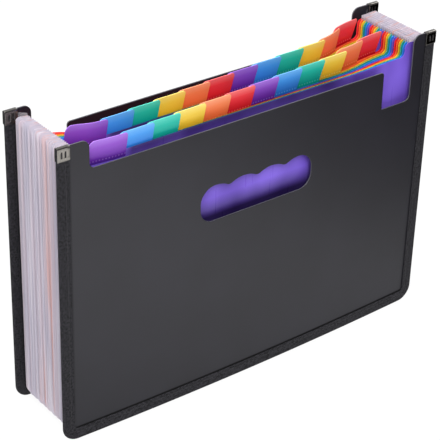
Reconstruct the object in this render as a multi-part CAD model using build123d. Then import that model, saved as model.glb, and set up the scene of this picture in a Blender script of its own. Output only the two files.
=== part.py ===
from build123d import *
import os
from math import atan, cos, sin

# An expanding file folder, standing part open: two bound covers, two rows of tabbed dividers, and the
# pleated film that joins them down the sides and along the bottom. Sizes are in millimetres.
# X runs along the width, Y from the front cover to the back cover and Z up. The origin is on the table,
# under the middle of the folder.

# Covers
cover_width = 330.0  # over the binding
cover_height = 234.0  # table to the top of the ears
panel_thickness = 1.2
cover_corner_radius = 12.0  # lower corners, over the binding
ear_width = 25.0
notch_ear_width = 20.8  # the ear beside the notch
ear_drop = 21.5  # top of the ears down to the long edge between them
ear_corner_radius = 6.0
ear_foot_radius = 4.0
notch_width = 28.0
notch_depth = 30.2  # below the long edge
notch_lip_radius = 2.5
notch_foot_radius = 5.0

# Hand hole in each cover, with a row of finger lobes along its top
hole_width = 100.0
hole_height = 28.0
hole_foot_radius = 11.0  # lower corners
hole_drop = 44.3  # long edge down to the top of the lobes
finger_count = 4
finger_depth = 3.0  # top of a lobe down to the cusp beside it
cusp_radius = 5.0

# Tape bound over the sides and foot of each cover
binding_width = 9.5
tape_thickness = 0.8

# Folded metal clips over the ends of the tape
clip_width = 9.6
clip_height = 9.8
clip_metal = 0.4
clip_slot_width = 1.0
clip_slot_height = 4.6
clip_slot_spacing = 2.9
clip_clearance = 0.5  # clips and tape to the nearest film

# Dividers
tabs_per_row = 12
pocket_pitch = 2.3  # divider to divider at the pleats
end_pocket = 4.55  # cover to the middle of the nearest divider
sheet_thickness = 0.3
sheet_side_margin = 16.0  # side of a sheet in from the side of the covers
sheet_foot = 10.0  # table to the lower edge of a sheet
sheet_corner_radius = 8.0
sheet_ear_width = 8.0
sheet_top_drop = 7.2  # top of the covers' ears down to the top of a sheet's ears
sheet_ear_drop = 10.7
sheet_step_radius = 4.0

# Forward sag of each sheet, from the front, at the top of its middle
sheet_sags = (
    1.95, 2.55, 3.25, 3.95, 4.65, 5.35, 6.05, 6.75, 7.45, 8.15, 5.55, 6.05,
    6.55, 6.85, 7.45, 8.05, 8.65, 9.35, 10.05, 10.75, 11.35, 11.95, 11.95, 11.05,
)
left_bend = 30.0  # along X, from the flat side margin to the full sag
right_bend = 56.0
sag_flat_margin = 4.0  # beside the welds, where a sheet stays flat

# Index tabs, each a strip folded over the long edge of its sheet
tab_width = 29.4
tab_rise = 12.0  # above the long edge
tab_grip = 5.0  # below the long edge
tab_slant = 2.4  # sideways lean, foot to top
tab_corner_radius = 2.5
tab_film = 0.15
tab_seat_gap = 0.02
tab_side_margin = 3.1  # between a sheet's ear and the nearest tab

# Pleated film
film_top_drop = 3.0  # top of the covers' ears down to the top of the film
film_weld = 2.2  # width of the weld along each edge of a leaf
film_weld_margin = 2.0  # edge of a sheet in to the weld
film_weld_radius = 6.0
fold_inset = 4.5  # outer fold in from the side of the covers
fold_foot = 3.0  # table to the outer fold
fold_corner_radius = 12.0
fold_top_radius = 4.0
end_leaf_weld = 0.6
end_leaf_radius = 9.0

# Cuts run this far past what they cut
overrun = 1.0

# Sizes that follow
divider_count = len(sheet_sags)
cover_depth = panel_thickness + 2 * tape_thickness
inner_depth = 2 * end_pocket + (divider_count - 1) * pocket_pitch
panel_inner_y = -inner_depth / 2
panel_outer_y = panel_inner_y - panel_thickness
cover_outer_y = panel_outer_y - tape_thickness
first_divider_y = panel_inner_y + end_pocket
half_cover = cover_width / 2
half_sheet = half_cover - sheet_side_margin
half_weld = half_sheet - film_weld_margin
half_fold = half_cover - fold_inset
half_end_leaf = half_cover - max(clip_width, binding_width) - clip_clearance
weld_foot = sheet_foot + film_weld_margin
end_leaf_foot = binding_width + clip_clearance
long_edge = cover_height - ear_drop
film_top = cover_height - film_top_drop
sheet_ear_top = cover_height - sheet_top_drop
sheet_edge = sheet_ear_top - sheet_ear_drop
sheet_ear_in = half_sheet - sheet_ear_width
tab_top = sheet_edge + tab_rise
tab_foot = sheet_edge - tab_grip
bend_start = half_weld - film_weld - sag_flat_margin
sag_foot = weld_foot + film_weld + sag_flat_margin


def prism(outline, near, far):
    """Solid of an outline in the XZ plane, from near to far along Y."""
    return Pos(0, far, 0) * extrude(Plane.XZ * make_face(outline), amount=far - near)


def pocket_outline(half, foot, top, radius):
    """Upright rectangle with its two lower corners rounded."""
    corners = [(-half, top), (-half, foot), (half, foot), (half, top)]
    return FilletPolyline(*corners, radius=[0, radius, radius, 0], close=True)


# Covers, binding and clips


def cover_outline():
    """Panel with an ear at each end of its top edge and a notch beside the right ear."""
    half = half_cover - tape_thickness
    left_ear_in = ear_width - half_cover
    right_ear_in = half_cover - notch_ear_width
    notch_in = right_ear_in - notch_width
    notch_foot = long_edge - notch_depth
    radius = cover_corner_radius - tape_thickness
    corners = [
        ((-half, tape_thickness), radius),
        ((half, tape_thickness), radius),
        ((half, cover_height), 0),
        ((right_ear_in, cover_height), ear_corner_radius),
        ((right_ear_in, notch_foot), notch_foot_radius),
        ((notch_in, notch_foot), 0),
        ((notch_in, long_edge), notch_lip_radius),
        ((left_ear_in, long_edge), ear_foot_radius),
        ((left_ear_in, cover_height), ear_corner_radius),
        ((-half, cover_height), 0),
    ]
    points, radii = zip(*corners)
    return FilletPolyline(*points, radius=list(radii), close=True)


def hand_hole():
    """Rounded slot, with lobes and cusps of tangent arcs along its top."""
    lobe_pitch = hole_width / finger_count
    reach = lobe_pitch / 2
    top = long_edge - hole_drop
    foot = top - hole_height
    lobe_radius = (reach**2 + finger_depth**2) / (2 * finger_depth) - cusp_radius
    turn = 2 * atan(finger_depth / reach)
    end_lobe = hole_width / 2 - reach
    end = hole_width / 2
    foot_end = end - hole_foot_radius
    bend = foot + hole_foot_radius
    edges = [
        Line((-foot_end, foot), (foot_end, foot)),
        RadiusArc((foot_end, foot), (end, bend), -hole_foot_radius),
        Line((end, bend), (end, top - reach)),
        RadiusArc((end, top - reach), (end_lobe, top), -reach),
        RadiusArc((-end_lobe, top), (-end, top - reach), -reach),
        Line((-end, top - reach), (-end, bend)),
        RadiusArc((-end, bend), (-foot_end, foot), -hole_foot_radius),
    ]
    for lobe in range(finger_count - 1):
        left = -end_lobe + lobe * lobe_pitch
        right = left + lobe_pitch
        side = lobe_radius * sin(turn)
        fall = lobe_radius * (1 - cos(turn))
        edges += [
            RadiusArc((right, top), (right - side, top - fall), -lobe_radius),
            RadiusArc((right - side, top - fall), (left + side, top - fall), cusp_radius),
            RadiusArc((left + side, top - fall), (left, top), -lobe_radius),
        ]
    return edges


def cover_panel():
    panel = prism(cover_outline(), panel_outer_y, panel_inner_y)
    return panel - prism(hand_hole(), panel_outer_y - overrun, panel_inner_y + overrun)


def cover_binding():
    """Tape folded round the sides and foot of a panel."""
    above = cover_height + overrun
    inset = binding_width
    tape = prism(
        pocket_outline(half_cover, 0, cover_height, cover_corner_radius),
        cover_outer_y,
        cover_outer_y + cover_depth,
    )
    window = prism(
        pocket_outline(half_cover - inset, inset, above, cover_corner_radius - inset),
        cover_outer_y - overrun,
        cover_outer_y + cover_depth + overrun,
    )
    inset = tape_thickness
    slot = prism(
        pocket_outline(half_cover - inset, inset, above, cover_corner_radius - inset),
        panel_outer_y,
        panel_inner_y,
    )
    return tape - window - slot


def corner_clip(side):
    """Strip of metal folded over the top of the tape, with two slots punched through each leg."""
    middle_x = side * (half_cover - clip_width / 2)
    middle_y = cover_outer_y + cover_depth / 2
    outer_depth = cover_depth + 2 * clip_metal
    foot = cover_height - clip_height
    to_foot = (Align.CENTER, Align.CENTER, Align.MIN)
    clip = Box(clip_width, outer_depth, clip_height + clip_metal, align=to_foot)
    clip -= Box(clip_width + overrun, cover_depth, clip_height, align=to_foot)
    slot = Box(clip_slot_width, outer_depth + overrun, clip_slot_height)
    for slot_side in (-1, 1):
        clip -= Pos(slot_side * clip_slot_spacing / 2, 0, clip_height / 2) * slot
    return Pos(middle_x, middle_y, foot) * clip


# Dividers


def sheet_outline():
    """Sheet with an ear at each end of its long top edge."""
    corners = [
        ((-half_sheet, sheet_foot), sheet_corner_radius),
        ((half_sheet, sheet_foot), sheet_corner_radius),
        ((half_sheet, sheet_ear_top), 0),
        ((sheet_ear_in, sheet_ear_top), sheet_step_radius),
        ((sheet_ear_in, sheet_edge), sheet_step_radius),
        ((-sheet_ear_in, sheet_edge), sheet_step_radius),
        ((-sheet_ear_in, sheet_ear_top), sheet_step_radius),
        ((-half_sheet, sheet_ear_top), 0),
    ]
    points, radii = zip(*corners)
    return FilletPolyline(*points, radius=list(radii), close=True)


def tab_outline(middle):
    """Leaning strip with rounded top corners."""
    half = tab_width / 2
    lean = tab_slant / 2
    corners = [
        (middle - half - lean, tab_foot),
        (middle + half - lean, tab_foot),
        (middle + half + lean, tab_top),
        (middle - half + lean, tab_top),
    ]
    return FilletPolyline(*corners, radius=[0, 0, tab_corner_radius, tab_corner_radius], close=True)


def sag_side(sag, bend, offset):
    """Points of one face of a sheet, from its middle to its side: two tangent arcs between flats.

    Each arc is given by its start, its middle and its end. A flat face has the same points in a line.
    """
    end = half_sheet + overrun
    bend_end = bend_start - bend
    if sag == 0:
        along_shares = (0, 0.25, 0.5, 0.75, 1)
        return [(bend_end + share * bend, offset) for share in along_shares] + [(end, offset)]
    radius = (bend**2 + sag**2) / (4 * sag)
    turn = 2 * atan(sag / bend)
    near = radius - offset
    far = radius + offset
    points = [(bend_end + near * sin(a), radius - sag - near * cos(a)) for a in (0, turn / 2, turn)]
    points += [(bend_start - far * sin(a), far * cos(a) - radius) for a in (turn / 2, 0)]
    return points + [(end, offset)]


def sag_face(sag, offset, height):
    """Edges along one face of a sheet at a height, from left to right."""
    right = [Vector(x, y, height) for x, y in sag_side(sag, right_bend, offset)]
    left = [Vector(-x, y, height) for x, y in reversed(sag_side(sag, left_bend, offset))]
    points = left + right
    edges = []
    at = 0
    for steps in (1, 2, 2, 1, 2, 2, 1):
        run = points[at : at + steps + 1]
        bent = steps == 2 and sag != 0
        edges.append(Edge.make_three_point_arc(*run) if bent else Edge.make_line(run[0], run[-1]))
        at += steps
    return edges


def sagged_slab(sag, thickness):
    """Slab between ruled faces: flat up to the foot of the sag, then leaning out to the sag at its top."""
    sections = []
    for height, depth in ((sheet_foot - overrun, 0), (sag_foot, 0), (tab_top + overrun, sag)):
        front = sag_face(depth, -thickness / 2, height)
        back = sag_face(depth, thickness / 2, height)
        left = Edge.make_line(front[0] @ 0, back[0] @ 0)
        right = Edge.make_line(front[-1] @ 1, back[-1] @ 1)
        sections.append(Wire(front + [right] + back[::-1] + [left]))
    return Solid.make_loft(sections, ruled=True)


def tab_middle(place):
    """Places along the long edge, from the left ear to the right one."""
    first = tab_side_margin + tab_width / 2 - sheet_ear_in
    return first - 2 * first * place / (tabs_per_row - 1)


def divider(number):
    """Sheet and its index tab, in front of the origin by the sag."""
    sag = sheet_sags[number]
    reach = sag + sheet_thickness + 2 * tab_film + overrun
    sheet = sagged_slab(sag, sheet_thickness) & prism(sheet_outline(), -reach, reach)
    seat_thickness = sheet_thickness + 2 * tab_seat_gap
    middle = tab_middle(number % tabs_per_row)
    strip = sagged_slab(sag, seat_thickness + 2 * tab_film)
    tab = strip & prism(tab_outline(middle), -reach, reach)
    room = tab_width + tab_slant + overrun
    mouth = Pos(middle, 0, tab_top - tab_film) * Box(
        room, 2 * reach, tab_rise + tab_grip + overrun, align=(Align.CENTER, Align.CENTER, Align.MAX)
    )
    return [sheet, tab - (sagged_slab(sag, seat_thickness) & mouth)]


# Pleated film


def film_shell(sections, weld):
    """Skin between outlines set along Y, each one (half width, foot, corner radius, y)."""

    def block(inset, top):
        faces = []
        for half, foot, radius, y in sections:
            outline = pocket_outline(half - inset, foot + inset, top, radius - inset)
            faces.append(Plane.XZ.offset(-y) * make_face(outline))
        return loft(faces, ruled=True)

    return block(0, film_top) - block(weld, film_top + overrun)


def gusset_pleat():
    """Two leaves from divider to divider, joined at their outer fold."""
    near = sheet_thickness / 2
    far = pocket_pitch - sheet_thickness / 2
    weld = (half_weld, weld_foot, film_weld_radius)
    fold = (half_fold, fold_foot, fold_corner_radius, pocket_pitch / 2)
    shell = film_shell([(*weld, near), fold, (*weld, far)], film_weld)
    trim = [(-half_fold, 0), (half_fold, 0), (half_fold, film_top), (-half_fold, film_top)]
    outline = FilletPolyline(*trim, radius=[0, 0, fold_top_radius, fold_top_radius], close=True)
    return shell & prism(outline, 0, pocket_pitch)


def gusset_front_leaf():
    """Single leaf from the inside of the front cover to the first divider."""
    cover = (half_end_leaf, end_leaf_foot, end_leaf_radius, panel_inner_y)
    weld = (half_weld, weld_foot, film_weld_radius, first_divider_y - sheet_thickness / 2)
    return film_shell([cover, weld], end_leaf_weld)


# Assembly

half_turn = Rotation(0, 0, 180)
nodes = {}

front = {
    "cover": cover_panel(),
    "binding": cover_binding(),
    "left_clip": corner_clip(-1),
    "right_clip": corner_clip(1),
}
other_side = {"left_clip": "right_clip", "right_clip": "left_clip"}
for name, shape in front.items():
    nodes[f"front_{name}"] = [shape]
    nodes[f"back_{other_side.get(name, name)}"] = [half_turn * shape]

pleat = gusset_pleat()
for number in range(divider_count):
    seat = Pos(0, first_divider_y + number * pocket_pitch, 0)
    nodes[f"divider_{number + 1:02d}"] = [seat * s for s in divider(number)]
    if number + 1 < divider_count:
        nodes[f"gusset_pleat_{number + 1:02d}"] = [seat * pleat]

front_leaf = gusset_front_leaf()
nodes["gusset_front_leaf"] = [front_leaf]
nodes["gusset_back_leaf"] = [half_turn * front_leaf]

os.makedirs("parts", exist_ok=True)
for name, shapes in nodes.items():
    solids = [solid for shape in shapes for solid in shape.solids()]
    whole = solids[0] if len(solids) == 1 else Compound(children=solids)
    whole.label = name
    export_step(whole, f"parts/{name}.step")
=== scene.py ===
import bmesh
import bpy
import numpy as np
from mathutils import Matrix, Vector
from mathutils.geometry import delaunay_2d_cdt


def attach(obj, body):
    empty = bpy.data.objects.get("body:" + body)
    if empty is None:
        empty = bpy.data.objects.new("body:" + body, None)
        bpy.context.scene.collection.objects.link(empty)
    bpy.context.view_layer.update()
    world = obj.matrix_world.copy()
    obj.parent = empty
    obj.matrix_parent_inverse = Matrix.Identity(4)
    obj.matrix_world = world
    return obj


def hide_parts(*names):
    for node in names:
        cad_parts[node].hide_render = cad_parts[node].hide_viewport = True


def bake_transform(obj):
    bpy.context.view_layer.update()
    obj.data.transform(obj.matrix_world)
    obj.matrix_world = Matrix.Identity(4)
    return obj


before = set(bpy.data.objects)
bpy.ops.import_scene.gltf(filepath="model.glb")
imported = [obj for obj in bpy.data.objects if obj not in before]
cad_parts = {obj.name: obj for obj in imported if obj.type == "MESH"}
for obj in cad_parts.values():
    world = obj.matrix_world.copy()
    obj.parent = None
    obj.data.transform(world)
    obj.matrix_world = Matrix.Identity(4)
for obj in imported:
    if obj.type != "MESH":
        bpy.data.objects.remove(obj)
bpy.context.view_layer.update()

# An expanding file folder, standing part open on a white table: two bound covers, two rows of
# tabbed dividers, and the pleated film that joins them. Shapes are worked out in millimetres, in
# the frame of the solids, and become metres when their mesh is made.

MM = 0.001

# Covers
cover_width = 330.0
cover_height = 234.0
panel_thickness = 1.2
cover_corner_radius = 12.0
ear_width = 25.0
notch_ear_width = 20.8
ear_drop = 21.5
ear_corner_radius = 6.0
ear_foot_radius = 4.0
notch_width = 28.0
notch_depth = 30.2
notch_lip_radius = 2.5
notch_foot_radius = 5.0
panel_edge_radius = 0.3
panel_cell = 7.0  # spacing of the points inside a panel
foot_bow = 3.7  # how far the middle of a cover stands out at its foot
top_bow = 0.4
bow_reach = 160.0  # half of the width that bows; the sides stay flat

# Hand hole
hole_width = 100.0
hole_height = 28.0
hole_foot_radius = 11.0
hole_drop = 44.3
finger_count = 4
finger_depth = 3.0
cusp_radius = 5.0

# Binding tape and its stitches
binding_width = 9.5
tape_thickness = 0.8
tape_swell = 0.12
tape_lip = 0.35
seam_inset = 6.3  # side of the cover to the seam
seam_groove = 0.22
seam_groove_width = 0.45
stitch_length = 2.5
stitch_pitch = 3.2
stitch_radius = 0.24

# Clips
clip_width = 9.6
clip_height = 9.8
clip_metal = 0.4
clip_bend = 0.8
clip_slot_width = 1.0
clip_slot_height = 4.6
clip_slot_spacing = 2.9
clip_pinch = 0.25  # how far the foot of a leg bends in
clip_pinch_height = 1.6
clip_edge = 0.09

# Dividers
tabs_per_row = 12
pocket_pitch = 2.3
end_pocket = 4.55
sheet_thickness = 0.3
sheet_side_margin = 13.0
sheet_foot = 10.0
sheet_corner_radius = 8.0
sheet_ear_width = 11.0
left_ear_shift = 7.0  # the left ears are narrower by this
sheet_top_drop = 7.2
sheet_ear_drop = 10.7
sheet_step_radius = 4.0
shoulder_length = 34.0  # slope from the left ear to the long edge
shoulder_end = 110.0
shoulder_rise = 4.0
shoulder_count = 6  # the sheets of a row up to this one have it, but not the first
edge_step = 0.7  # how far a long edge stands below the one in front of it
edge_step_limit = 4.2
sheet_sags = (
    1.95, 2.55, 3.25, 3.95, 4.65, 5.35, 6.05, 6.75, 7.45, 8.15, 5.55, 6.05,
    6.55, 6.85, 7.45, 8.05, 8.65, 9.35, 10.05, 10.75, 11.35, 11.95, 11.95, 11.05,
)  # forward, at the top of the middle of each sheet
left_bend = 30.0
right_bend = 56.0
sag_side_margin = 7.0
sag_foot_margin = 4.0
sag_overrun = 1.0

# Index tabs
tab_width = 29.4
tab_rise = 12.0
tab_grip = 5.0
tab_slant = 2.4
tab_slant_gain = 4.0  # more lean on the last tab of a row than on the first
tab_left_radius = 5.0
tab_right_radius = 2.5
tab_half_thickness = 0.32
tab_side_margin = 3.1

# Pleated film
film_top_drop = 3.0
film_weld = 2.2
film_weld_margin = 2.0
film_weld_radius = 6.0
film_thickness = 0.12
film_lap = 0.5  # how far the film laps the sheets inside its weld
right_lap = 4.7  # how much further it laps them on the right
weld_drop = 1.5  # how far the film's edge falls from the fold to the weld
fold_inset = 4.5
fold_foot = 3.0
fold_corner_radius = 12.0
fold_top_radius = 4.0
fold_softness = 1.25  # 1 is a sharp fold, 2 a round one
fold_play = 0.8  # how far the folds differ in reach
fold_play_turn = 2.4  # radians from one fold's play to the next
end_leaf_inset = 10.1
end_leaf_foot = 10.0
end_leaf_radius = 9.0

# Sizes that follow
divider_count = len(sheet_sags)
cover_depth = panel_thickness + 2 * tape_thickness
inner_depth = 2 * end_pocket + (divider_count - 1) * pocket_pitch
panel_inner_y = -inner_depth / 2
panel_outer_y = panel_inner_y - panel_thickness
cover_outer_y = panel_outer_y - tape_thickness
first_divider_y = panel_inner_y + end_pocket
half_cover = cover_width / 2
half_sheet = half_cover - sheet_side_margin
half_weld = half_sheet - film_weld_margin
half_fold = half_cover - fold_inset
half_end_leaf = half_cover - end_leaf_inset
weld_foot = sheet_foot + film_weld_margin
long_edge = cover_height - ear_drop
film_top = cover_height - film_top_drop
sheet_ear_top = cover_height - sheet_top_drop
sheet_edge = sheet_ear_top - sheet_ear_drop
sheet_ear_in = half_sheet - sheet_ear_width
tab_top = sheet_edge + tab_rise
tab_foot = sheet_edge - tab_grip
bend_start = half_weld - film_weld - sag_side_margin
sag_foot = weld_foot + film_weld + sag_foot_margin
sag_top = tab_top + sag_overrun

# Camera, fitted to the photograph's frame
camera_place = (-645.43, -807.18, 720.82)
camera_right = (0.79362782, -0.60778522, 0.02742273)
camera_up = (0.29029255, 0.41789694, 0.86086723)
camera_back = (-0.53468225, -0.67524757, 0.50809016)
sensor_width = 36.0
lens = 133.674


def set_camera():
    """Camera at the photograph's viewing angle."""
    data = bpy.data.cameras.new("camera")
    data.sensor_width = sensor_width
    data.lens = lens
    data.clip_end = 20.0
    camera = bpy.data.objects.new("camera", data)
    turn = Matrix((camera_right, camera_up, camera_back)).transposed()
    camera.matrix_world = Matrix.Translation(Vector(camera_place) * MM) @ turn.to_4x4()
    bpy.context.scene.collection.objects.link(camera)
    bpy.context.scene.camera = camera


# Meshes


def unit(vectors):
    """Vectors of length one, the same way."""
    return vectors / np.linalg.norm(vectors, axis=-1, keepdims=True)


def distance_along(line):
    """Distance from the start of a line of points to each of them, along the line."""
    return np.concatenate([[0], np.cumsum(np.linalg.norm(np.diff(line, axis=0), axis=1))])


def arc_height(radius, off):
    """Height of an arc over the middle of its circle, this far to one side of its top."""
    return np.sqrt(np.clip(radius**2 - np.clip(off, 0, radius) ** 2, 0, None))


def grid_corners(rows, columns, ring=False):
    """Row and column of each corner of a grid's quads. In a ring the last row joins the first."""
    last = rows if ring else rows - 1
    row, column = np.meshgrid(np.arange(last), np.arange(columns - 1), indexing="ij")
    at_row = np.stack([row, row, row + 1, row + 1], axis=-1).reshape(-1, 4)
    at_column = np.stack([column, column + 1, column + 1, column], axis=-1).reshape(-1, 4)
    return at_row, at_column


def slab(near, far):
    """Thin closed body: two facing grids of points, and a strip that joins them at their border."""
    rows, columns = near.shape[:2]
    count = rows * columns
    at_row, at_column = grid_corners(rows, columns)
    quads = at_row * columns + at_column
    index = np.arange(count).reshape(rows, columns)
    edge = np.concatenate([index[0, :-1], index[:-1, -1], index[-1, :0:-1], index[:0:-1, 0]])
    after = np.roll(edge, -1)
    rim = np.stack([edge, edge + count, after + count, after], axis=-1)
    points = np.concatenate([near.reshape(-1, 3), far.reshape(-1, 3)])
    return points, np.concatenate([quads, quads[:, ::-1] + count, rim])


def leaf(x, y, z, half):
    """Thin closed body about a grid of points, half its thickness to the front and to the back."""
    return slab(np.stack([x, y - half, z], axis=-1), np.stack([x, y + half, z], axis=-1))


def sweep(grid):
    """Closed profile carried along a path: rows go round the profile, columns follow the path.

    The UV map is the distance along the path and round the profile, both in metres.
    """
    rows, columns = grid.shape[:2]
    at_row, at_column = grid_corners(rows, columns, ring=True)
    quads = at_row % rows * columns + at_column
    along = distance_along(grid[0]) * MM
    around = distance_along(np.concatenate([grid[:, 0], grid[:1, 0]])) * MM
    uv = np.stack([along[at_column], around[at_row]], axis=-1).reshape(-1, 2)
    ends = np.arange(rows) * columns
    faces = quads.tolist() + [ends.tolist(), (ends + columns - 1).tolist()]
    uv = np.concatenate([uv, np.zeros((2 * rows, 2))])
    return grid.reshape(-1, 3), faces, uv


def make_piece(name, points, faces, finish, uv=None, sharp_degrees=35.0, merge=False):
    """Mesh in metres from points in millimetres, facing outwards, smooth up to the sharp angle."""
    mesh = bpy.data.meshes.new(name)
    mesh.from_pydata((points * MM).tolist(), [], [list(f) for f in faces])
    if uv is not None:
        mesh.uv_layers.new(name="UVMap").data.foreach_set("uv", uv.ravel())
    shape = bmesh.new()
    shape.from_mesh(mesh)
    if merge:
        bmesh.ops.remove_doubles(shape, verts=shape.verts, dist=MM * 1e-3)
    bmesh.ops.recalc_face_normals(shape, faces=shape.faces)
    shape.to_mesh(mesh)
    shape.free()
    mesh.shade_smooth()
    mesh.set_sharp_from_angle(angle=np.radians(sharp_degrees))
    mesh.materials.append(finish)
    piece = bpy.data.objects.new(name, mesh)
    bpy.context.scene.collection.objects.link(piece)
    return piece


def turned(points):
    """Half turn about the upright axis, from the front cover to the back one."""
    return points * np.array([-1.0, -1.0, 1.0])


def folder_line(half, foot, radius, top, side_steps=28, corner_steps=10, foot_steps=60):
    """Line down the left side, round the corner, along the foot, round the next and up the right.

    half, foot, radius and top are columns of numbers, and each row of the result is one line.
    """
    sizes = np.broadcast_arrays(half, foot, radius, top)
    half, foot, radius, top = (np.reshape(v, (-1, 1)) for v in sizes)
    down = np.linspace(0, 1, side_steps, endpoint=False)
    turn = np.linspace(0, np.pi / 2, corner_steps, endpoint=False)
    along = np.linspace(-1, 1, foot_steps, endpoint=False)
    up = np.linspace(0, 1, side_steps)
    bend = foot + radius
    x = [
        -half + 0 * down,
        radius - half - radius * np.cos(turn),
        (half - radius) * along,
        half - radius + radius * np.sin(turn),
        half + 0 * up,
    ]
    z = [
        top + (bend - top) * down,
        bend - radius * np.sin(turn),
        foot + 0 * along,
        bend - radius * np.cos(turn),
        bend + (top - bend) * up,
    ]
    return np.concatenate(x, axis=1), np.concatenate(z, axis=1)


def cover_bow(x, z):
    """Outward bow of a cover: greatest at the middle of its foot, nothing at its sides."""
    share = np.clip(1 - (x / bow_reach) ** 2, 0, None)
    return share * (foot_bow + (top_bow - foot_bow) * z / cover_height)


# Finishes


def colour(code):
    """sRGB hex to linear red, green, blue and alpha."""
    parts = np.array([int(code[i : i + 2], 16) for i in (1, 3, 5)]) / 255
    linear = np.where(parts <= 0.04045, parts / 12.92, ((parts + 0.055) / 1.055) ** 2.4)
    return (*linear.tolist(), 1.0)


def add(tree, kind, inputs=(), stops=(), **settings):
    """Adds a node with its settings and links.

    Inputs go by name or in order. Each is a value, a socket, or a node whose first output feeds it.
    Stops are the places of a colour ramp, from 0 to 1, and their hex colours.
    """
    node = tree.nodes.new("ShaderNode" + kind)
    for key, value in settings.items():
        setattr(node, key, value)
    sockets = [s for s in node.inputs if s.enabled]
    by_key = {s.name: s for s in sockets} | dict(enumerate(sockets))
    for key, value in inputs.items() if isinstance(inputs, dict) else enumerate(inputs):
        if isinstance(value, bpy.types.Node):
            value = next(s for s in value.outputs if s.enabled)
        if isinstance(value, bpy.types.NodeSocket):
            tree.links.new(value, by_key[key])
        else:
            by_key[key].default_value = value
    if stops:
        elements = node.color_ramp.elements
        for element, (place, code) in zip(elements, (stops[0], stops[-1])):
            element.position, element.color = place, colour(code)
        for place, code in stops[1:-1]:
            elements.new(place).color = colour(code)
    return node


def new_finish(name):
    """Empty material, and the tree for its nodes."""
    finish = bpy.data.materials.new(name)
    finish.use_nodes = True
    finish.node_tree.nodes.clear()
    return finish, finish.node_tree


def mottled(tree, x, y, z, detail=2.0):
    """Soft mottling with features of these lengths in millimetres."""
    place = add(tree, "TexCoord").outputs["Object"]
    scale = [1 / (length * MM) for length in (x, y, z)]
    steps = add(tree, "Mapping", {"Vector": place, "Scale": scale})
    return add(tree, "TexNoise", {"Vector": steps, "Scale": 1.0, "Detail": detail})


# Sand grain of the covers, in millimetres: near 0.3 mm on the real sheet, and drawn coarser to show
grain = 0.7
mottle = 45.0

# Painted shade in the crease beside the tape, in millimetres: its width, and its darkest part at
# the foot and sides
crease_shade_width = 1.6
foot_crease_shade = 0.4 * crease_shade_width
side_crease_shade = 0.2 * crease_shade_width
side_crease_shade_share = 0.25  # how dark it is at the sides

# How squarely a surface of a panel faces front or back: below the first it is a cut edge, painted
# paler as a highlight
cut_edge_highlight_facing = (0.4, 0.8)


def painted_crease_shade(tree):
    """Share of the painted shade in the crease that the tape presses into a panel: full at its
    edge, then fading.
    """
    place = add(tree, "SeparateXYZ", [add(tree, "TexCoord").outputs["Object"]]).outputs
    above = add(tree, "Math", [place["Z"], binding_width * MM], operation="SUBTRACT")
    off = add(tree, "Math", [place["X"]], operation="ABSOLUTE")
    beside = add(tree, "Math", [(half_cover - binding_width) * MM, off], operation="SUBTRACT")
    end = crease_shade_width * MM
    at_foot = add(tree, "MapRange", [above, foot_crease_shade * MM, end, 1.0, 0.0])
    at_side = add(tree, "MapRange", [beside, side_crease_shade * MM, end, side_crease_shade_share, 0.0])
    return add(tree, "Math", [at_foot, at_side], operation="MAXIMUM")


def cover_finish():
    """Black polypropylene, extruded with a fine sand grain.

    It gives soft wide highlights, painted shade in the crease beside the tape, and a painted
    highlight, a paler line, on the cut edges.
    """
    finish, tree = new_finish("polypropylene_black_sand_grain")
    sand = mottled(tree, grain, grain, grain, detail=3.0)
    cloud = mottled(tree, mottle, mottle, mottle)
    crease = painted_crease_shade(tree)
    face = add(tree, "ValToRGB", [cloud], stops=((0.3, "#16151c"), (0.7, "#1b1a22")))
    # Painted shade: in the crease the panel's colour goes to near black.
    face = add(tree, "Mix", [crease, face, colour("#010102")], data_type="RGBA")
    facing = add(tree, "SeparateXYZ", [add(tree, "TexCoord").outputs["Normal"]]).outputs["Y"]
    flat = add(tree, "Math", [facing], operation="ABSOLUTE")
    # Painted highlight: surfaces turned away from front and back, the cut edges, get a paler
    # colour.
    cut = add(tree, "MapRange", [flat, *cut_edge_highlight_facing, 1.0, 0.0])
    rough = add(tree, "MapRange", [sand, 0.0, 1.0, 0.36, 0.5])
    skin = add(tree, "BsdfPrincipled", {
        "Base Color": add(tree, "Mix", [cut, face, colour("#4d4c51")], data_type="RGBA"),
        "Roughness": add(tree, "MapRange", [crease, 0.0, 1.0, rough, 1.0]),
        "Specular IOR Level": 0.33,
        "Normal": add(tree, "Bump", {"Height": sand, "Strength": 0.35, "Distance": 0.06 * MM}),
    })
    add(tree, "OutputMaterial", [skin])
    return finish


# Thread spacing of the tape in millimetres, drawn coarser than the real 0.5 mm to show
weave_pitch = 1.3
thread_share = 0.5
slub_size = 1.5  # thicker and thinner stretches of its threads
slub_drop = 0.2


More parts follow.
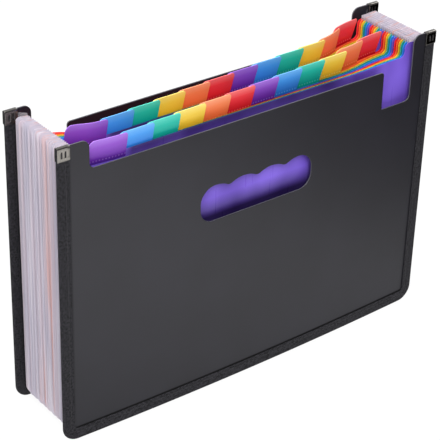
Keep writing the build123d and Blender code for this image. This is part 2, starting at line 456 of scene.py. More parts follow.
def tape_finish():
    """Black woven polyester tape: rows of raised threads, dull, with a faint sheen at a slant.

    The weave is a sine along the tape times a sine across it, with soft slubs added.
    """
    finish, tree = new_finish("polyester_tape_black_woven")
    place = add(tree, "SeparateXYZ", [add(tree, "UVMap")]).outputs
    turn = 2 * np.pi / (weave_pitch * MM)
    along = add(tree, "Math", [place["X"], turn], operation="MULTIPLY")
    around = add(tree, "Math", [place["Y"], turn], operation="MULTIPLY")
    sines = [add(tree, "Math", [angle], operation="SINE") for angle in (along, around)]
    crossing = add(tree, "Math", sines, operation="MULTIPLY")
    threads = add(tree, "MapRange", [crossing, -1.0, 1.0, 0.0, 1.0])
    slub = mottled(tree, slub_size, slub_size, slub_size, detail=1.0)
    slub = add(tree, "Math", [slub, slub_drop], operation="SUBTRACT")
    weave = add(tree, "Math", [threads, thread_share, slub], operation="MULTIPLY_ADD")
    skin = add(tree, "BsdfPrincipled", {
        "Base Color": add(tree, "ValToRGB", [weave], stops=((0.3, "#020203"), (0.75, "#323136"))),
        "Roughness": 0.72,
        "Specular IOR Level": 0.15,
        "Sheen Weight": 0.03,
        "Sheen Roughness": 0.4,
        "Normal": add(tree, "Bump", {"Height": weave, "Strength": 0.8, "Distance": 0.3 * MM}),
    })
    add(tree, "OutputMaterial", [skin])
    return finish


# Spacing of the thread's twist in millimetres
twist_pitch = 0.5


def thread_finish():
    """Black polyester sewing thread: twisted, a little brighter than the tape where it turns."""
    finish, tree = new_finish("polyester_thread_black")
    twist = mottled(tree, twist_pitch, twist_pitch, twist_pitch, detail=1.0)
    tone = add(tree, "ValToRGB", [twist], stops=((0.0, "#121114"), (1.0, "#2b2a2e")))
    skin = add(tree, "BsdfPrincipled", {"Base Color": tone, "Roughness": 0.6})
    add(tree, "OutputMaterial", [skin])
    return finish


# Rolling marks in the clips' strip: width across and length along, in millimetres
rolling_width = 0.25
rolling_length = 6.0


def clip_finish():
    """Nickel-plated steel strip, bright-rolled: warm grey mirror with faint rolling marks."""
    finish, tree = new_finish("steel_strip_nickel_plated")
    marks = mottled(tree, rolling_width, rolling_width, rolling_length)
    skin = add(tree, "BsdfPrincipled", {
        "Base Color": add(tree, "ValToRGB", [marks], stops=((0.2, "#605e5a"), (0.8, "#85817c"))),
        "Metallic": 1.0,
        "Roughness": add(tree, "MapRange", [marks, 0.0, 1.0, 0.08, 0.18]),
    })
    add(tree, "OutputMaterial", [skin])
    return finish


# Colours of the dividers from the front: the sheet, and its tab from the foot to the fold, where
# painted shade at the foot gives way to painted light at the fold
divider_colours_and_tab_shading = {
    "purple": ("#7253cc", "#4a2390", "#7a35b8", "#9a58d2", "#b683e8"),
    "blue": ("#2a86e4", "#2468c0", "#3a8ee8", "#52aaf6", "#7cc6fb"),
    "teal": ("#14a48e", "#10907e", "#18b6a4", "#2eccb8", "#66e0ce"),
    "yellow": ("#f2c224", "#d2a42a", "#f8cd36", "#fcdd52", "#fdec86"),
    "orange": ("#f6682c", "#df6432", "#ff7e46", "#ff925c", "#ffb288"),
    "red": ("#e41a26", "#c01822", "#f02c38", "#f8434b", "#fa8082"),
}

# Drawing of the coloured sheets in millimetres: fine ribs left by the rollers, and soft waves
roller_width = 4.0
roller_length = 60.0
wave = 24.0

# Painted reflection along the waves: its darkest and lightest tone, as shares of the plain colour
painted_reflection_reach = (0.3, 0.7)
painted_reflection_dark = 0.8
painted_reflection_light = 1.12
painted_reflection_lift = 0.03

# Painted shade: heights in millimetres between which the sheets go from dim, deep in the folder, to
# full colour
dim_height = 140.0
lit_height = 155.0
dim_level = 0.12

# Above this height the sheets lie in painted shade under the tabs, this far to the left and to the
# right of the middle. Beyond the clear distance they lie in the light again.
shade_height = 200.0
shade_left = 104.0
shade_right = 70.0
clear_distance = 112.0
shade_level = 0.22


def sheet_finish(name):
    """Coloured polypropylene sheet, extruded and rolled: silky gloss, faint ribs and soft waves.

    Painted shade deepens its colour low in the folder and under the tabs, and a painted reflection
    lightens and darkens it along the waves.
    """
    finish, tree = new_finish(f"polypropylene_sheet_{name}")
    ribs = mottled(tree, roller_width, roller_width, roller_length)
    waves = mottled(tree, wave, wave, 2 * wave, detail=1.0)
    place = add(tree, "SeparateXYZ", [add(tree, "TexCoord").outputs["Object"]]).outputs
    # Painted shade: the colour dims low in the folder, and under the tabs away from both ends.
    deep = add(tree, "MapRange", [place["Z"], dim_height * MM, lit_height * MM, dim_level, 1.0])
    under = add(tree, "MapRange", [place["Z"], shade_height * MM, sheet_edge * MM, 0.0, 1.0])
    clear = clear_distance * MM
    right = add(tree, "MapRange", [place["X"], shade_right * MM, clear, shade_level, 1.0])
    left = add(tree, "MapRange", [place["X"], -clear, -shade_left * MM, 1.0, shade_level])
    ends = add(tree, "Math", [right, left], operation="MAXIMUM")
    shade = add(tree, "MapRange", [under, 0.0, 1.0, 1.0, ends])
    lit = add(tree, "Math", [deep, shade], operation="MULTIPLY")
    plain = colour(divider_colours_and_tab_shading[name][0])
    dark = tuple(painted_reflection_dark * c for c in plain)
    light = tuple(min(1.0, painted_reflection_light * c + painted_reflection_lift) for c in plain)
    # Painted reflection: the waves lighten and darken the colour.
    share = add(tree, "MapRange", [waves, *painted_reflection_reach, 0.0, 1.0])
    tone = add(tree, "Mix", [share, dark, light], data_type="RGBA")
    skin = add(tree, "BsdfPrincipled", {
        "Base Color": add(tree, "Mix", [1.0, tone, lit], data_type="RGBA", blend_type="MULTIPLY"),
        "Roughness": add(tree, "MapRange", [ribs, 0.0, 1.0, 0.24, 0.34]),
        "Specular IOR Level": 0.2,
        "Normal": add(tree, "Bump", {"Height": waves, "Distance": 0.5 * MM}),
    })
    add(tree, "OutputMaterial", [skin])
    return finish


# Spot welds along the foot of a tab, in millimetres
weld_pitch = 2.4
weld_height = 2.2
weld_radius = 0.75
weld_middle = 0.4 * weld_radius  # the flat middle of a weld
weld_paleness = 0.45

# Shares of a tab's height at which its painted shade and light colours stand, and of the light that
# goes through it
tab_shading_shares = (0.0, 0.3, 0.68, 1.0)
tab_glow = 0.2
tab_clearness = 0.06


def tab_finish(name):
    """Tinted polypropylene strip: pale at its fold in painted light, deeper at its foot in painted
    shade, with a row of pale welds.

    A weld is the distance from the nearest point of an even row, carried from full to nothing.
    """
    finish, tree = new_finish(f"polypropylene_tab_{name}")
    tones = divider_colours_and_tab_shading[name][1:]
    place = add(tree, "SeparateXYZ", [add(tree, "UVMap")]).outputs
    step = add(tree, "Math", [place["X"], weld_pitch * MM], operation="FLOORED_MODULO")
    side = add(tree, "Math", [step, weld_pitch / 2 * MM], operation="SUBTRACT")
    rise = add(tree, "Math", [place["Y"], weld_height * MM], operation="SUBTRACT")
    off = add(tree, "VectorMath", [add(tree, "CombineXYZ", [side, rise])], operation="LENGTH")
    weld = add(tree, "MapRange", [off, weld_middle * MM, weld_radius * MM, 1.0, 0.0])
    # Painted light and shade: the tab's colour goes from deep at its foot to pale at its fold.
    height = add(tree, "MapRange", [place["Y"], 0.0, (tab_rise + tab_grip) * MM, 0.0, 1.0])
    tone = add(tree, "ValToRGB", [height], stops=tuple(zip(tab_shading_shares, tones)))
    pale = add(tree, "Math", [weld, weld_paleness], operation="MULTIPLY")
    tone = add(tree, "Mix", [pale, tone, colour(tones[-1])], data_type="RGBA")
    dent = {"Height": weld, "Strength": 0.6, "Distance": 0.15 * MM}
    skin = add(tree, "BsdfPrincipled", {
        "Base Color": tone,
        "Roughness": 0.25,
        "Specular IOR Level": 0.3,
        "Normal": add(tree, "Bump", dent, invert=True),
    })
    glow = add(tree, "BsdfTranslucent", {"Color": tone})
    clear = add(tree, "BsdfTransparent", {"Color": tone})
    body = add(tree, "MixShader", [tab_glow, skin, glow])
    add(tree, "OutputMaterial", [add(tree, "MixShader", [tab_clearness, body, clear])])
    return finish


# Draw marks of the film in millimetres: across it, along the depth of the folder, and up it
streak_lengths = (30.0, 1.5, 220.0)
streak_tones = ((0.32, "#ecccc8"), (0.42, "#eae1e7"), (0.57, "#dcd9e3"), (0.72, "#faf6f9"))
film_glow = 0.5  # share of the light that goes through it and spreads


def film_finish(name, clearness):
    """Clear polypropylene film: milky with lilac and pink streaks, glowing with the light inside.

    Clearness is the share of what lies behind it that shows through.
    """
    finish, tree = new_finish(f"polypropylene_film_{name}")
    streak = mottled(tree, *streak_lengths)
    tone = add(tree, "ValToRGB", [streak], stops=streak_tones)
    milk = add(tree, "BsdfPrincipled", {
        "Base Color": tone,
        "Roughness": 0.42,
        "IOR": 1.49,
        "Normal": add(tree, "Bump", {"Height": streak, "Strength": 0.1, "Distance": 0.2 * MM}),
    })
    glow = add(tree, "BsdfTranslucent", {"Color": tone})
    body = add(tree, "MixShader", [film_glow, milk, glow])
    clear = add(tree, "BsdfTransparent")
    add(tree, "OutputMaterial", [add(tree, "MixShader", [clearness, body, clear])])
    return finish


# Covers


def rounded(corners, steps=9):
    """Outline of a polygon with an arc at each corner, turning evenly from end to end."""
    corner = np.array([c[:2] for c in corners], float)
    radius = np.array([c[2] for c in corners], float)[:, None]
    back = unit(np.roll(corner, 1, axis=0) - corner)
    ahead = unit(np.roll(corner, -1, axis=0) - corner)
    half = np.arccos(np.sum(back * ahead, axis=1, keepdims=True)) / 2
    middle = corner + unit(back + ahead) * radius / np.sin(half)
    start = (corner + back * radius / np.tan(half) - middle)[:, None]
    end = (corner + ahead * radius / np.tan(half) - middle)[:, None]
    angle = np.pi - 2 * half
    share = np.linspace(0, 1, steps)
    weights = [(np.sin(s * angle) / np.sin(angle))[..., None] for s in (1 - share, share)]
    return (middle[:, None] + weights[0] * start + weights[1] * end).reshape(-1, 2)


def divided(outline, step):
    """The same closed outline with points no further apart than a step, and none twice."""
    closed = np.concatenate([outline, outline[:1]])
    length = distance_along(closed)
    keep = np.concatenate([[True], np.diff(length) > 1e-6])
    closed, length = closed[keep], length[keep]
    count = np.maximum(np.ceil(np.diff(length) / step), 1).astype(int)
    part = np.arange(count.sum()) - np.repeat(np.cumsum(count) - count, count)
    at = np.repeat(length[:-1], count) + np.repeat(np.diff(length) / count, count) * part
    return np.stack([np.interp(at, length, closed[:, i]) for i in (0, 1)], axis=-1)


def cover_outline():
    """Panel with an ear at each end of its top edge and a notch beside the right ear."""
    half = half_cover - tape_thickness
    left_ear_in = ear_width - half_cover
    right_ear_in = half_cover - notch_ear_width
    notch_in = right_ear_in - notch_width
    notch_foot = long_edge - notch_depth
    radius = cover_corner_radius - tape_thickness
    return rounded([
        (-half, tape_thickness, radius),
        (half, tape_thickness, radius),
        (half, cover_height, 0),
        (right_ear_in, cover_height, ear_corner_radius),
        (right_ear_in, notch_foot, notch_foot_radius),
        (notch_in, notch_foot, 0),
        (notch_in, long_edge, notch_lip_radius),
        (left_ear_in, long_edge, ear_foot_radius),
        (left_ear_in, cover_height, ear_corner_radius),
        (-half, cover_height, 0),
    ])


def hand_hole(lobe_steps=91, corner_steps=13):
    """Slot with round ends, and a top edge of lobes and cusps: arcs tangent to each other."""
    pitch = hole_width / finger_count
    reach = pitch / 2
    top = long_edge - hole_drop
    bend = top - hole_height + hole_foot_radius
    lobe_radius = (reach**2 + finger_depth**2) / (2 * finger_depth) - cusp_radius
    side = lobe_radius * np.sin(2 * np.arctan(finger_depth / reach))
    end = hole_width / 2 - reach
    foot_end = hole_width / 2 - hole_foot_radius
    x = np.linspace(end, -end, lobe_steps)[1:-1]
    off = np.abs((x + end + reach) % pitch - reach)
    lobe = top - lobe_radius + arc_height(lobe_radius, off)
    cusp = top - finger_depth + cusp_radius - arc_height(cusp_radius, reach - off)
    edge = np.stack([x, np.where(off < side, lobe, cusp)], axis=-1)
    turn = np.linspace(0, np.pi / 2, corner_steps)
    arcs = [
        (foot_end, bend, hole_foot_radius, turn - np.pi / 2),
        (end, top - reach, reach, turn),
        (-end, top - reach, reach, turn + np.pi / 2),
        (-foot_end, bend, hole_foot_radius, turn + np.pi),
    ]
    arcs = [np.stack([x + r * np.cos(a), z + r * np.sin(a)], axis=-1) for x, z, r, a in arcs]
    return np.concatenate([arcs[0], arcs[1], edge, arcs[2], arcs[3]])[::-1]


def inside(points, outline):
    """True where a line to the right crosses the outline an odd number of times."""
    x, z = points[:, :1], points[:, 1:]
    ahead = np.roll(outline, -1, axis=0)
    crosses = (outline[:, 1] > z) != (ahead[:, 1] > z)
    rise = np.where(ahead[:, 1] == outline[:, 1], 1.0, ahead[:, 1] - outline[:, 1])
    at = outline[:, 0] + (z - outline[:, 1]) * (ahead[:, 0] - outline[:, 0]) / rise
    return np.sum(crosses & (at > x), axis=1) % 2 == 1


def panel_face(rims):
    """Flat points and triangles between an outer and an inner rim, on an even grid."""
    along = np.arange(-half_cover, half_cover, panel_cell)
    x, z = np.meshgrid(along, np.arange(0, cover_height, panel_cell))
    within = np.stack([x.ravel(), z.ravel()], axis=-1)
    border = np.concatenate(rims)
    within = within[inside(within, rims[0]) & ~inside(within, rims[1])]
    gap = np.linalg.norm(within[:, None] - border[None], axis=-1).min(axis=1)
    flat = np.concatenate([border, within[gap > panel_cell / 2]])
    edges, start = [], 0
    for rim in rims:
        index = np.arange(len(rim)) + start
        edges += np.stack([index, np.roll(index, -1)], axis=-1).tolist()
        start += len(rim)
    vectors = [Vector(p) for p in flat.tolist()]
    flat, _, triangles, *_ = delaunay_2d_cdt(vectors, edges, [], 0, 1e-5)
    flat = np.array([tuple(p) for p in flat])
    triangles = np.array(triangles)
    middle = flat[triangles].mean(axis=1)
    return flat, triangles[inside(middle, rims[0]) & ~inside(middle, rims[1])]


def panel_shape():
    """Panel with round edges: a profile of two quarter rounds carried along the outline and the
    hand hole, and two faces of triangles between them. The whole then bows outwards."""
    bend = np.linspace(0, np.pi / 2, 4)
    inset = panel_edge_radius * np.concatenate([1 - np.sin(bend), 1 - np.sin(bend[::-1])])
    depth = panel_edge_radius * (1 - np.cos(bend))
    depth = np.concatenate([depth, panel_thickness - depth[::-1]])
    points, faces, rims = [], [], []
    count = 0
    for outline in (divided(cover_outline(), panel_cell), divided(hand_hole(), panel_cell)):
        along = unit(np.roll(outline, -1, axis=0) - np.roll(outline, 1, axis=0))
        inward = np.stack([-along[:, 1], along[:, 0]], axis=-1)
        ring = outline[None] + inset[:, None, None] * inward[None]
        y = np.broadcast_to(depth[:, None], ring.shape[:2])
        ring = np.stack([ring[..., 0], panel_outer_y + y, ring[..., 1]], axis=-1)
        ring = np.concatenate([ring, ring[:, :1]], axis=1)
        at_row, at_column = grid_corners(*ring.shape[:2])
        faces += (at_row * ring.shape[1] + at_column + count).tolist()
        points.append(ring.reshape(-1, 3))
        count += points[-1].shape[0]
        rims.append(ring[0, :-1][:, [0, 2]])
    flat, triangles = panel_face(rims)
    for y in (panel_outer_y, panel_inner_y):
        points.append(np.stack([flat[:, 0], np.full(len(flat), y), flat[:, 1]], axis=-1))
        faces += (triangles + count).tolist()
        count += len(flat)
    points = np.concatenate(points)
    points[:, 1] -= cover_bow(points[:, 0], points[:, 2])
    return points, faces


def binding_shape():
    """Tape profile carried along the sides and foot.

    It has a round outer edge, and faces that swell by a sine and dip by a bell curve at the seam.
    """
    half = cover_depth / 2
    face = np.linspace(binding_width - tape_lip, half, 22)
    swell = tape_swell * np.sin(np.pi * face / binding_width)
    groove = seam_groove * np.exp(-(((face - seam_inset) / seam_groove_width) ** 2))
    turn = np.linspace(0, np.pi, 13)[1:-1]
    under = binding_width - 2 * tape_lip
    lips = [binding_width, under, under, binding_width]
    inset = np.concatenate([face, half - half * np.sin(turn), face[::-1], lips])
    depth = np.concatenate([
        groove - swell,
        half - half * np.cos(turn),
        (cover_depth - groove + swell)[::-1],
        [cover_depth - tape_lip, cover_depth - tape_thickness, tape_thickness, tape_lip],
    ])
    x, z = folder_line(half_cover - inset, inset, cover_corner_radius - inset, cover_height)
    y = cover_outer_y + depth[:, None] - cover_bow(x, z)
    return sweep(np.stack([x, y, z], axis=-1))


def seam_shape():
    """Rows of stitches on both faces of the tape: spindles laid end to end along the seam line."""
    top = cover_height - clip_height
    radius = cover_corner_radius - seam_inset
    x, z = folder_line(half_cover - seam_inset, seam_inset, radius, top)
    x, z = x[0], z[0]
    length = distance_along(np.stack([x, z], axis=-1))
    middle = np.arange(stitch_pitch, length[-1] - stitch_pitch, stitch_pitch)
    share = np.array([-1.0, -0.82, 0.0, 0.82, 1.0])
    thick = stitch_radius * np.array([0.3, 0.8, 1.0, 0.8, 0.3])
    at = middle[:, None] + share * stitch_length / 2
    px, pz = np.interp(at, length, x), np.interp(at, length, z)
    dx, dz = np.gradient(px, axis=1), np.gradient(pz, axis=1)
    size = np.hypot(dx, dz)
    nx, nz = -dz / size, dx / size
    turn = np.linspace(0, 2 * np.pi, 6, endpoint=False)
    across = thick[None, :, None] * np.cos(turn)
    out = thick[None, :, None] * np.sin(turn)
    stitches, rows, columns = len(middle), len(share), len(turn)
    at_row, at_column = grid_corners(columns, rows, ring=True)
    quads = (at_column * columns + at_row % columns).tolist()
    caps = [list(range(columns)), list(range((rows - 1) * columns, rows * columns))]
    depth = seam_groove - tape_swell * np.sin(np.pi * seam_inset / binding_width)
    points = []
    for face_y in (cover_outer_y + depth, cover_outer_y + cover_depth - depth):
        ring_x = px[..., None] + nx[..., None] * across
        ring_y = face_y - cover_bow(px, pz)[..., None] + out
        ring_z = pz[..., None] + nz[..., None] * across
        points.append(np.stack([ring_x, ring_y, ring_z], axis=-1))
    points = np.concatenate(points).reshape(-1, 3)
    starts = np.arange(2 * stitches) * rows * columns
    faces = [[i + s for i in f] for s in starts.tolist() for f in quads + caps]
    return points, faces


def clip_shape(side):
    """Strip folded over the top of the tape: a line of two legs and two quarter rounds, carried
    across, with the cells of its slots left open."""
    foot = cover_height - clip_height
    slot_foot = foot + (clip_height - clip_slot_height) / 2
    slot_top = slot_foot + clip_slot_height
    near = cover_outer_y - clip_metal / 2
    far = cover_outer_y + cover_depth + clip_metal / 2
    roof = cover_height + clip_metal / 2
    leg = np.concatenate([
        np.linspace(foot, slot_foot, 4)[:-1],
        np.linspace(slot_foot, slot_top, 5)[:-1],
        np.linspace(slot_top, roof - clip_bend, 3)[:-1],
    ])
    pinch = clip_pinch * np.clip(1 - (leg - foot) / clip_pinch_height, 0, None) ** 2
    turn = np.linspace(0, np.pi / 2, 6)
    inward = np.concatenate([pinch, clip_bend * (1 - np.cos(turn))])
    height = np.concatenate([leg, roof - clip_bend * (1 - np.sin(turn))])
    y = np.concatenate([near + inward, far - inward[::-1]])
    z = np.concatenate([height, height[::-1]])
    slot_in = (clip_slot_spacing - clip_slot_width) / 2
    slot_out = (clip_slot_spacing + clip_slot_width) / 2
    cuts = np.array([-clip_width / 2, -slot_out, -slot_in, slot_in, slot_out, clip_width / 2])
    x = side * (half_cover - clip_width / 2) + cuts
    grid = np.stack(np.broadcast_arrays(x[None], y[:, None], z[:, None]), axis=-1)
    at_row, at_column = grid_corners(len(y), len(x))
    middle_z = (z[at_row[:, 0]] + z[at_row[:, 2]]) / 2
    in_slot = np.isin(at_column[:, 0], (1, 3)) & (middle_z > slot_foot) & (middle_z < slot_top)
    quads = (at_row * len(x) + at_column)[~in_slot]
    return grid.reshape(-1, 3), quads.tolist()


def finish_clip(piece):
    """Gives the folded strip its metal thickness and a small round on its cut edges."""
    skin = piece.modifiers.new("metal", "SOLIDIFY")
    skin.thickness = clip_metal * MM
    skin.offset = 0.0
    edge = piece.modifiers.new("edges", "BEVEL")
    edge.width = clip_edge * MM
    edge.segments = 2
    edge.limit_method = "ANGLE"
    edge.angle_limit = np.radians(50)


# Dividers


def divider_y(number, x, z):
    """Middle of a divider along Y.

    It sags forward by two tangent arcs, from its flat sides to its middle, and more with height.
    """
    sag = sheet_sags[number]
    bend = np.where(x < 0, left_bend, right_bend)
    bend_end = bend_start - bend
    radius = (bend**2 + sag**2) / (4 * sag)
    off = np.clip(np.abs(x), bend_end, bend_start)
    inner = sag - radius + arc_height(radius, off - bend_end)
    outer = radius - arc_height(radius, bend_start - off)
    depth = np.where(off < (bend_start + bend_end) / 2, inner, outer)
    depth = depth * np.clip((z - sag_foot) / (sag_top - sag_foot), 0, None)
    return first_divider_y + number * pocket_pitch - depth


def sheet_shape(number):
    """Sheet on a grid of upright lines: each runs from the rounded foot to the long edge or an ear.

    The long edges step down behind the first sheet of a row, and a shoulder slopes to the left ear.
    """
    in_row = number % tabs_per_row
    radius = sheet_step_radius
    edge = sheet_edge - np.minimum(edge_step * in_row, edge_step_limit)
    step_in = sheet_ear_in - radius
    step_out = sheet_ear_in + radius
    hair = 1e-3
    turn = np.linspace(0, np.pi / 2, 7)
    side = np.concatenate([
        step_in + radius * np.sin(turn) - hair,
        step_out - radius * np.cos(turn) + hair,
        np.linspace(step_out, half_sheet, 6)[1:],
    ])
    left_end, right_end = left_bend - bend_start, bend_start - right_bend
    x = np.concatenate([
        -side - left_ear_shift,
        -side,
        np.linspace(-bend_start, left_end, 22),
        np.linspace(left_end, right_end, 14),
        np.linspace(right_end, bend_start, 22),
        side,
    ])
    x = np.unique(x[np.abs(x) <= half_sheet].round(4))
    off = np.abs(x) - np.where(x < 0, left_ear_shift, 0)
    concave = edge + radius - arc_height(radius, off - step_in)
    convex = sheet_ear_top - radius + arc_height(radius, step_out - off)
    top = np.where(off < sheet_ear_in, concave, convex)
    if 0 < in_row < shoulder_count:
        share = np.clip(-(x + shoulder_end) / shoulder_length, 0, 1)
        shoulder = edge + (sheet_edge + shoulder_rise - edge) * share
        top = np.where(x < -shoulder_end, np.maximum(top, shoulder), top)
    corner = np.abs(x) - half_sheet + sheet_corner_radius
    foot = sheet_foot + sheet_corner_radius - arc_height(sheet_corner_radius, corner)
    share = np.concatenate([[0, 0.02], np.linspace(0.04, 1, 13)])[:, None]
    z = foot + (top - foot) * share
    x = np.broadcast_to(x, z.shape)
    return leaf(x, divider_y(number, x, z), z, sheet_thickness / 2)


def tab_shape(number):
    """Folded strip on a grid across and up: it leans to the right, with round top corners and fold.

    The UV map is the distance from the middle and from the foot, in metres.
    """
    along_row = number % tabs_per_row / (tabs_per_row - 1)
    first = tab_side_margin + tab_width / 2 - sheet_ear_in
    middle = first * (1 - 2 * along_row)
    turn = np.linspace(0, np.pi / 2, 6)
    rounds = (tab_left_radius, tab_right_radius, tab_half_thickness)
    rows = [tab_top - r * (1 - np.sin(turn)) for r in rounds]
    rows.append(np.linspace(tab_foot, tab_top - tab_left_radius, 8))
    z = np.unique(np.concatenate(rows).round(6))[:, None]
    left, right = (
        tab_width / 2 - r + arc_height(r, z - tab_top + r)
        for r in (tab_left_radius, tab_right_radius)
    )
    slant = tab_slant + tab_slant_gain * along_row
    lean = slant * ((z - tab_foot) / (tab_top - tab_foot) - 0.5)
    x = middle + lean - left + (left + right) * np.linspace(0, 1, 19)
    fold_limit = 0.97 * tab_half_thickness  # leaves a narrow face along the fold
    fold = np.clip(z - tab_top + tab_half_thickness, 0, fold_limit)
    half = np.sqrt(tab_half_thickness**2 - fold**2)
    z = np.broadcast_to(z, x.shape)
    points, faces = leaf(x, divider_y(number, x, z), z, half)
    flat = np.stack([x - middle, z - tab_foot], axis=-1).reshape(-1, 2) * MM
    return points, faces, np.concatenate([flat, flat])[faces.ravel()]


# Film


def pocket_span(number):
    """Along Y, the faces of the two sheets that a pleat joins."""
    near = first_divider_y + number * pocket_pitch + sheet_thickness / 2
    return near, near + pocket_pitch - sheet_thickness


def pleat_shape(number):
    """Two leaves and their outer fold: lines round the folder, pushed out to the fold and back.

    A leaf's way out is one minus the distance from the fold to a power, which softens the fold.
    """
    near, far = pocket_span(number)
    reach = half_fold - half_weld
    play = 1 - fold_play / reach * (0.5 + 0.5 * np.sin(fold_play_turn * number))
    share = np.linspace(0, 1, 15)
    out = play * (1 - np.abs(2 * share - 1) ** fold_softness)
    out = np.concatenate([[-film_lap / reach], out, [-film_lap / reach]])
    share = np.concatenate([[0], share, [1]])
    y = near + (far - near) * share
    middle = (near + far) / 2
    thin = film_thickness / (far - near) * 2
    grids = []
    for lesser in (0, thin):
        way = out - lesser * np.clip(out, 0, None)
        half = half_weld + reach * way
        foot = weld_foot + (fold_foot - weld_foot) * way
        radius = film_weld_radius + (fold_corner_radius - film_weld_radius) * np.clip(way, 0, None)
        over = half - half_fold + fold_top_radius
        top = film_top - fold_top_radius + arc_height(fold_top_radius, over)
        top = top - weld_drop * np.clip(1 - way, 0, 1)
        x, z = folder_line(half, foot, radius, top)
        x[[0, -1]] -= right_lap * np.clip(x[[0, -1]] / half_weld, 0, 1)
        across = middle + (y - middle) * (1 - lesser)
        grids.append(np.stack([x, np.broadcast_to(across[:, None], x.shape), z], axis=-1))
    return slab(*grids)


def end_leaf_shape():
    """Single leaf from the front cover to the first divider: lines round the folder, drawn in."""
    share = np.linspace(0, 1, 9)
    far = first_divider_y - sheet_thickness / 2
    grids = []
    for inward in (0, film_thickness):
        half = half_end_leaf + (half_weld - half_end_leaf) * share - inward
        foot = end_leaf_foot + (weld_foot - end_leaf_foot) * share + inward
        radius = end_leaf_radius + (film_weld_radius - end_leaf_radius) * share
        x, z = folder_line(half, foot, radius, film_top)
        near = panel_inner_y - cover_bow(x, z)
        grids.append(np.stack([x, near + (far - near) * share[:, None], z], axis=-1))
    return slab(*grids)


# Stage and light. Places here are in metres.

table_half = 6.0
table_drop = 0.0001

# The bright part of the table in front of the folder, that lights it from below
pool_middle = (0.0, -0.5, 0.0)
pool_reach = (0.4, 1.2)
pool_levels = (1.2, 0.5)

# The part of the table that lies in the dark, at the right, and that covers and clips mirror
dark_middle = (0.6, -0.42, 0.0)
dark_reach = (0.3, 0.54)
dark_levels = (0.0, 1.65)

# Along Y, where the folder's own shade on the table begins and ends
foot_shade = (-0.3, -0.03)
foot_levels = (1.0, 0.48)

# The share of white that the camera sees in the table; the rest shows the folder's shadow
table_white = 0.93

# Where the room goes from dim, at the front, to bright, towards the back
room_reach = (-0.7, 0.3)
room_levels = (0.15, 1.0)


def far_from(tree, middle, reach, levels):
    """Goes from one level, within the nearer reach of a middle, to the other, past the further."""
    place = add(tree, "TexCoord").outputs["Object"]
    off = add(tree, "VectorMath", [place, middle], operation="DISTANCE")
    return add(tree, "MapRange", [off, *reach, *levels])


def table_finish():
    """White laminate: plain white to the camera, and to the folder a pool of light in the dark."""
    finish, tree = new_finish("table_white_laminate")
    path = add(tree, "LightPath").outputs
    through = path["Is Transmission Ray"]
    seen = add(tree, "Math", [path["Is Camera Ray"], through], operation="MAXIMUM")
    place = add(tree, "SeparateXYZ", [add(tree, "TexCoord").outputs["Object"]]).outputs
    pool = far_from(tree, pool_middle, pool_reach, pool_levels)
    shade = far_from(tree, dark_middle, dark_reach, dark_levels)
    at_foot = add(tree, "MapRange", [place["Y"], *foot_shade, *foot_levels])
    mirrored = add(tree, "Math", [pool, shade], operation="MULTIPLY")
    mirrored = add(tree, "Math", [mirrored, at_foot], operation="MULTIPLY")
    back = add(tree, "MapRange", [path["Is Glossy Ray"], 0.0, 1.0, pool, mirrored])
    matt = add(tree, "BsdfDiffuse", {"Color": colour("#f8f8f8")})
    glow = add(tree, "Emission", {"Strength": add(tree, "MapRange", [seen, 0.0, 1.0, back, 1.0])})
    share = add(tree, "MapRange", [seen, 0.0, 1.0, 1.0, table_white])
    add(tree, "OutputMaterial", [add(tree, "MixShader", [share, matt, glow])])
    return finish


def set_table():
    """White table under the folder, a hair below its foot."""
    mesh = bpy.data.meshes.new("table")
    corners = table_half * np.array([(-1, -1, 0), (1, -1, 0), (1, 1, 0), (-1, 1, 0)])
    mesh.from_pydata((corners - [0, 0, table_drop]).tolist(), [], [(0, 1, 2, 3)])
    mesh.materials.append(table_finish())
    table = bpy.data.objects.new("table", mesh)
    bpy.context.scene.collection.objects.link(table)


def set_room():
    """White room, dim at the front: the camera sees plain white."""
    world = bpy.data.worlds.new("studio")
    bpy.context.scene.world = world
    world.use_nodes = True
    tree = world.node_tree
    tree.nodes.clear()
    way = add(tree, "SeparateXYZ", [add(tree, "TexCoord").outputs["Generated"]]).outputs["Y"]
    level = add(tree, "MapRange", [way, *room_reach, *room_levels])
    room = add(tree, "Background", {"Color": colour("#f2f2f5"), "Strength": level})
    white = add(tree, "Background", {"Color": colour("#ffffff"), "Strength": 1.0})
    seen = add(tree, "LightPath").outputs["Is Camera Ray"]
    add(tree, "OutputWorld", [add(tree, "MixShader", [seen, room, white])])


def add_lamp(name, place, size, power):
    """Square soft box at a place, turned to the middle of the folder."""
    data = bpy.data.lights.new(name, "AREA")
    data.shape = "SQUARE"
    data.size = size
    data.energy = power
    lamp = bpy.data.objects.new(name, data)
    way = Vector(lamp_aim) - Vector(place)
    turn = way.to_track_quat("-Z", "Y").to_matrix().to_4x4()
    lamp.matrix_world = Matrix.Translation(place) @ turn
    bpy.context.scene.collection.objects.link(lamp)


# Assembly

lamp_aim = (0.0, 0.0, 0.1)
lamps = (
    ("top", (-0.6, 0.2, 2.0), 1.4, 40.0),
    ("key", (-0.8, -1.4, 1.8), 1.2, 48.0),
    ("fill", (1.6, 0.2, 1.3), 1.2, 16.0),
    ("side", (-1.7, -0.3, 0.8), 1.0, 1.0),
)  # place, size in metres and power in watts

set_camera()

finishes = {
    "cover": cover_finish(),
    "binding": tape_finish(),
    "thread": thread_finish(),
    "clip": clip_finish(),
    "gusset": film_finish("frosted", clearness=0.12),
    "end_leaf": film_finish("clear", clearness=0.78),
}
sheet_finishes = {name: sheet_finish(name) for name in divider_colours_and_tab_shading}
tab_finishes = {name: tab_finish(name) for name in divider_colours_and_tab_shading}


def place_piece(piece, body, slot, *nodes):
    """Ties a piece to its body, in place of the solids it stands for."""
    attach(piece, body)
    if nodes:
        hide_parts(*nodes)


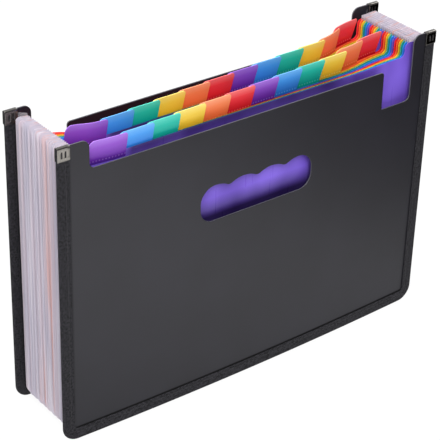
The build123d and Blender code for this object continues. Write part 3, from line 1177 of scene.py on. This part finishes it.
panel_points, panel_faces = panel_shape()
tape_points, tape_faces, tape_uv = binding_shape()
seam_points, seam_faces = seam_shape()
for end, place in (("front", np.asarray), ("back", turned)):
    points = place(panel_points)
    cover = make_piece(
        f"{end}_cover_panel", points, panel_faces, finishes["cover"], sharp_degrees=12.0, merge=True
    )
    place_piece(cover, end, "cover", f"{end}_cover")
    points = place(tape_points)
    tape = make_piece(f"{end}_binding_tape", points, tape_faces, finishes["binding"], tape_uv)
    place_piece(tape, end, "binding", f"{end}_binding")
    points = place(seam_points)
    stitches = make_piece(f"{end}_binding_seam", points, seam_faces, finishes["thread"])
    place_piece(stitches, end, "binding")
    for side, name in ((-1, "left"), (1, "right")):
        points, faces = clip_shape(side if end == "front" else -side)
        clip = make_piece(
            f"{end}_{name}_clip_strip", place(points), faces, finishes["clip"], sharp_degrees=40.0
        )
        finish_clip(clip)
        place_piece(clip, end, "clip", f"{end}_{name}_clip")

names = list(divider_colours_and_tab_shading)
for number in range(divider_count):
    body = f"divider_{number + 1:02d}"
    name = names[number % len(names)]
    sheet = make_piece(f"sheet_{number + 1:02d}", *sheet_shape(number), sheet_finishes[name])
    place_piece(sheet, body, f"divider_{name}", body)
    points, faces, uv = tab_shape(number)
    tab = make_piece(f"tab_{number + 1:02d}", points, faces, tab_finishes[name], uv)
    place_piece(tab, body, f"divider_{name}")


def hang_film(piece, node, bodies, near, far):
    """Puts a film in place of its solid, with its place baked into its mesh."""
    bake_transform(piece)
    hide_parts(node)


for number in range(divider_count - 1):
    film = make_piece(f"film_pleat_{number + 1:02d}", *pleat_shape(number), finishes["gusset"])
    bodies = (f"divider_{number + 1:02d}", f"divider_{number + 2:02d}")
    hang_film(film, f"gusset_pleat_{number + 1:02d}", bodies, *pocket_span(number))

leaf_points, leaf_faces = end_leaf_shape()
weld_y = first_divider_y - sheet_thickness / 2
film = make_piece("film_front_leaf", leaf_points, leaf_faces, finishes["end_leaf"])
hang_film(film, "gusset_front_leaf", ("front", "divider_01"), panel_inner_y, weld_y)
film = make_piece("film_back_leaf", turned(leaf_points), leaf_faces, finishes["end_leaf"])
hang_film(film, "gusset_back_leaf", ("divider_24", "back"), -weld_y, -panel_inner_y)

set_table()
set_room()
for lamp in lamps:
    add_lamp(*lamp)
bpy.context.scene.view_settings.view_transform = "Standard"
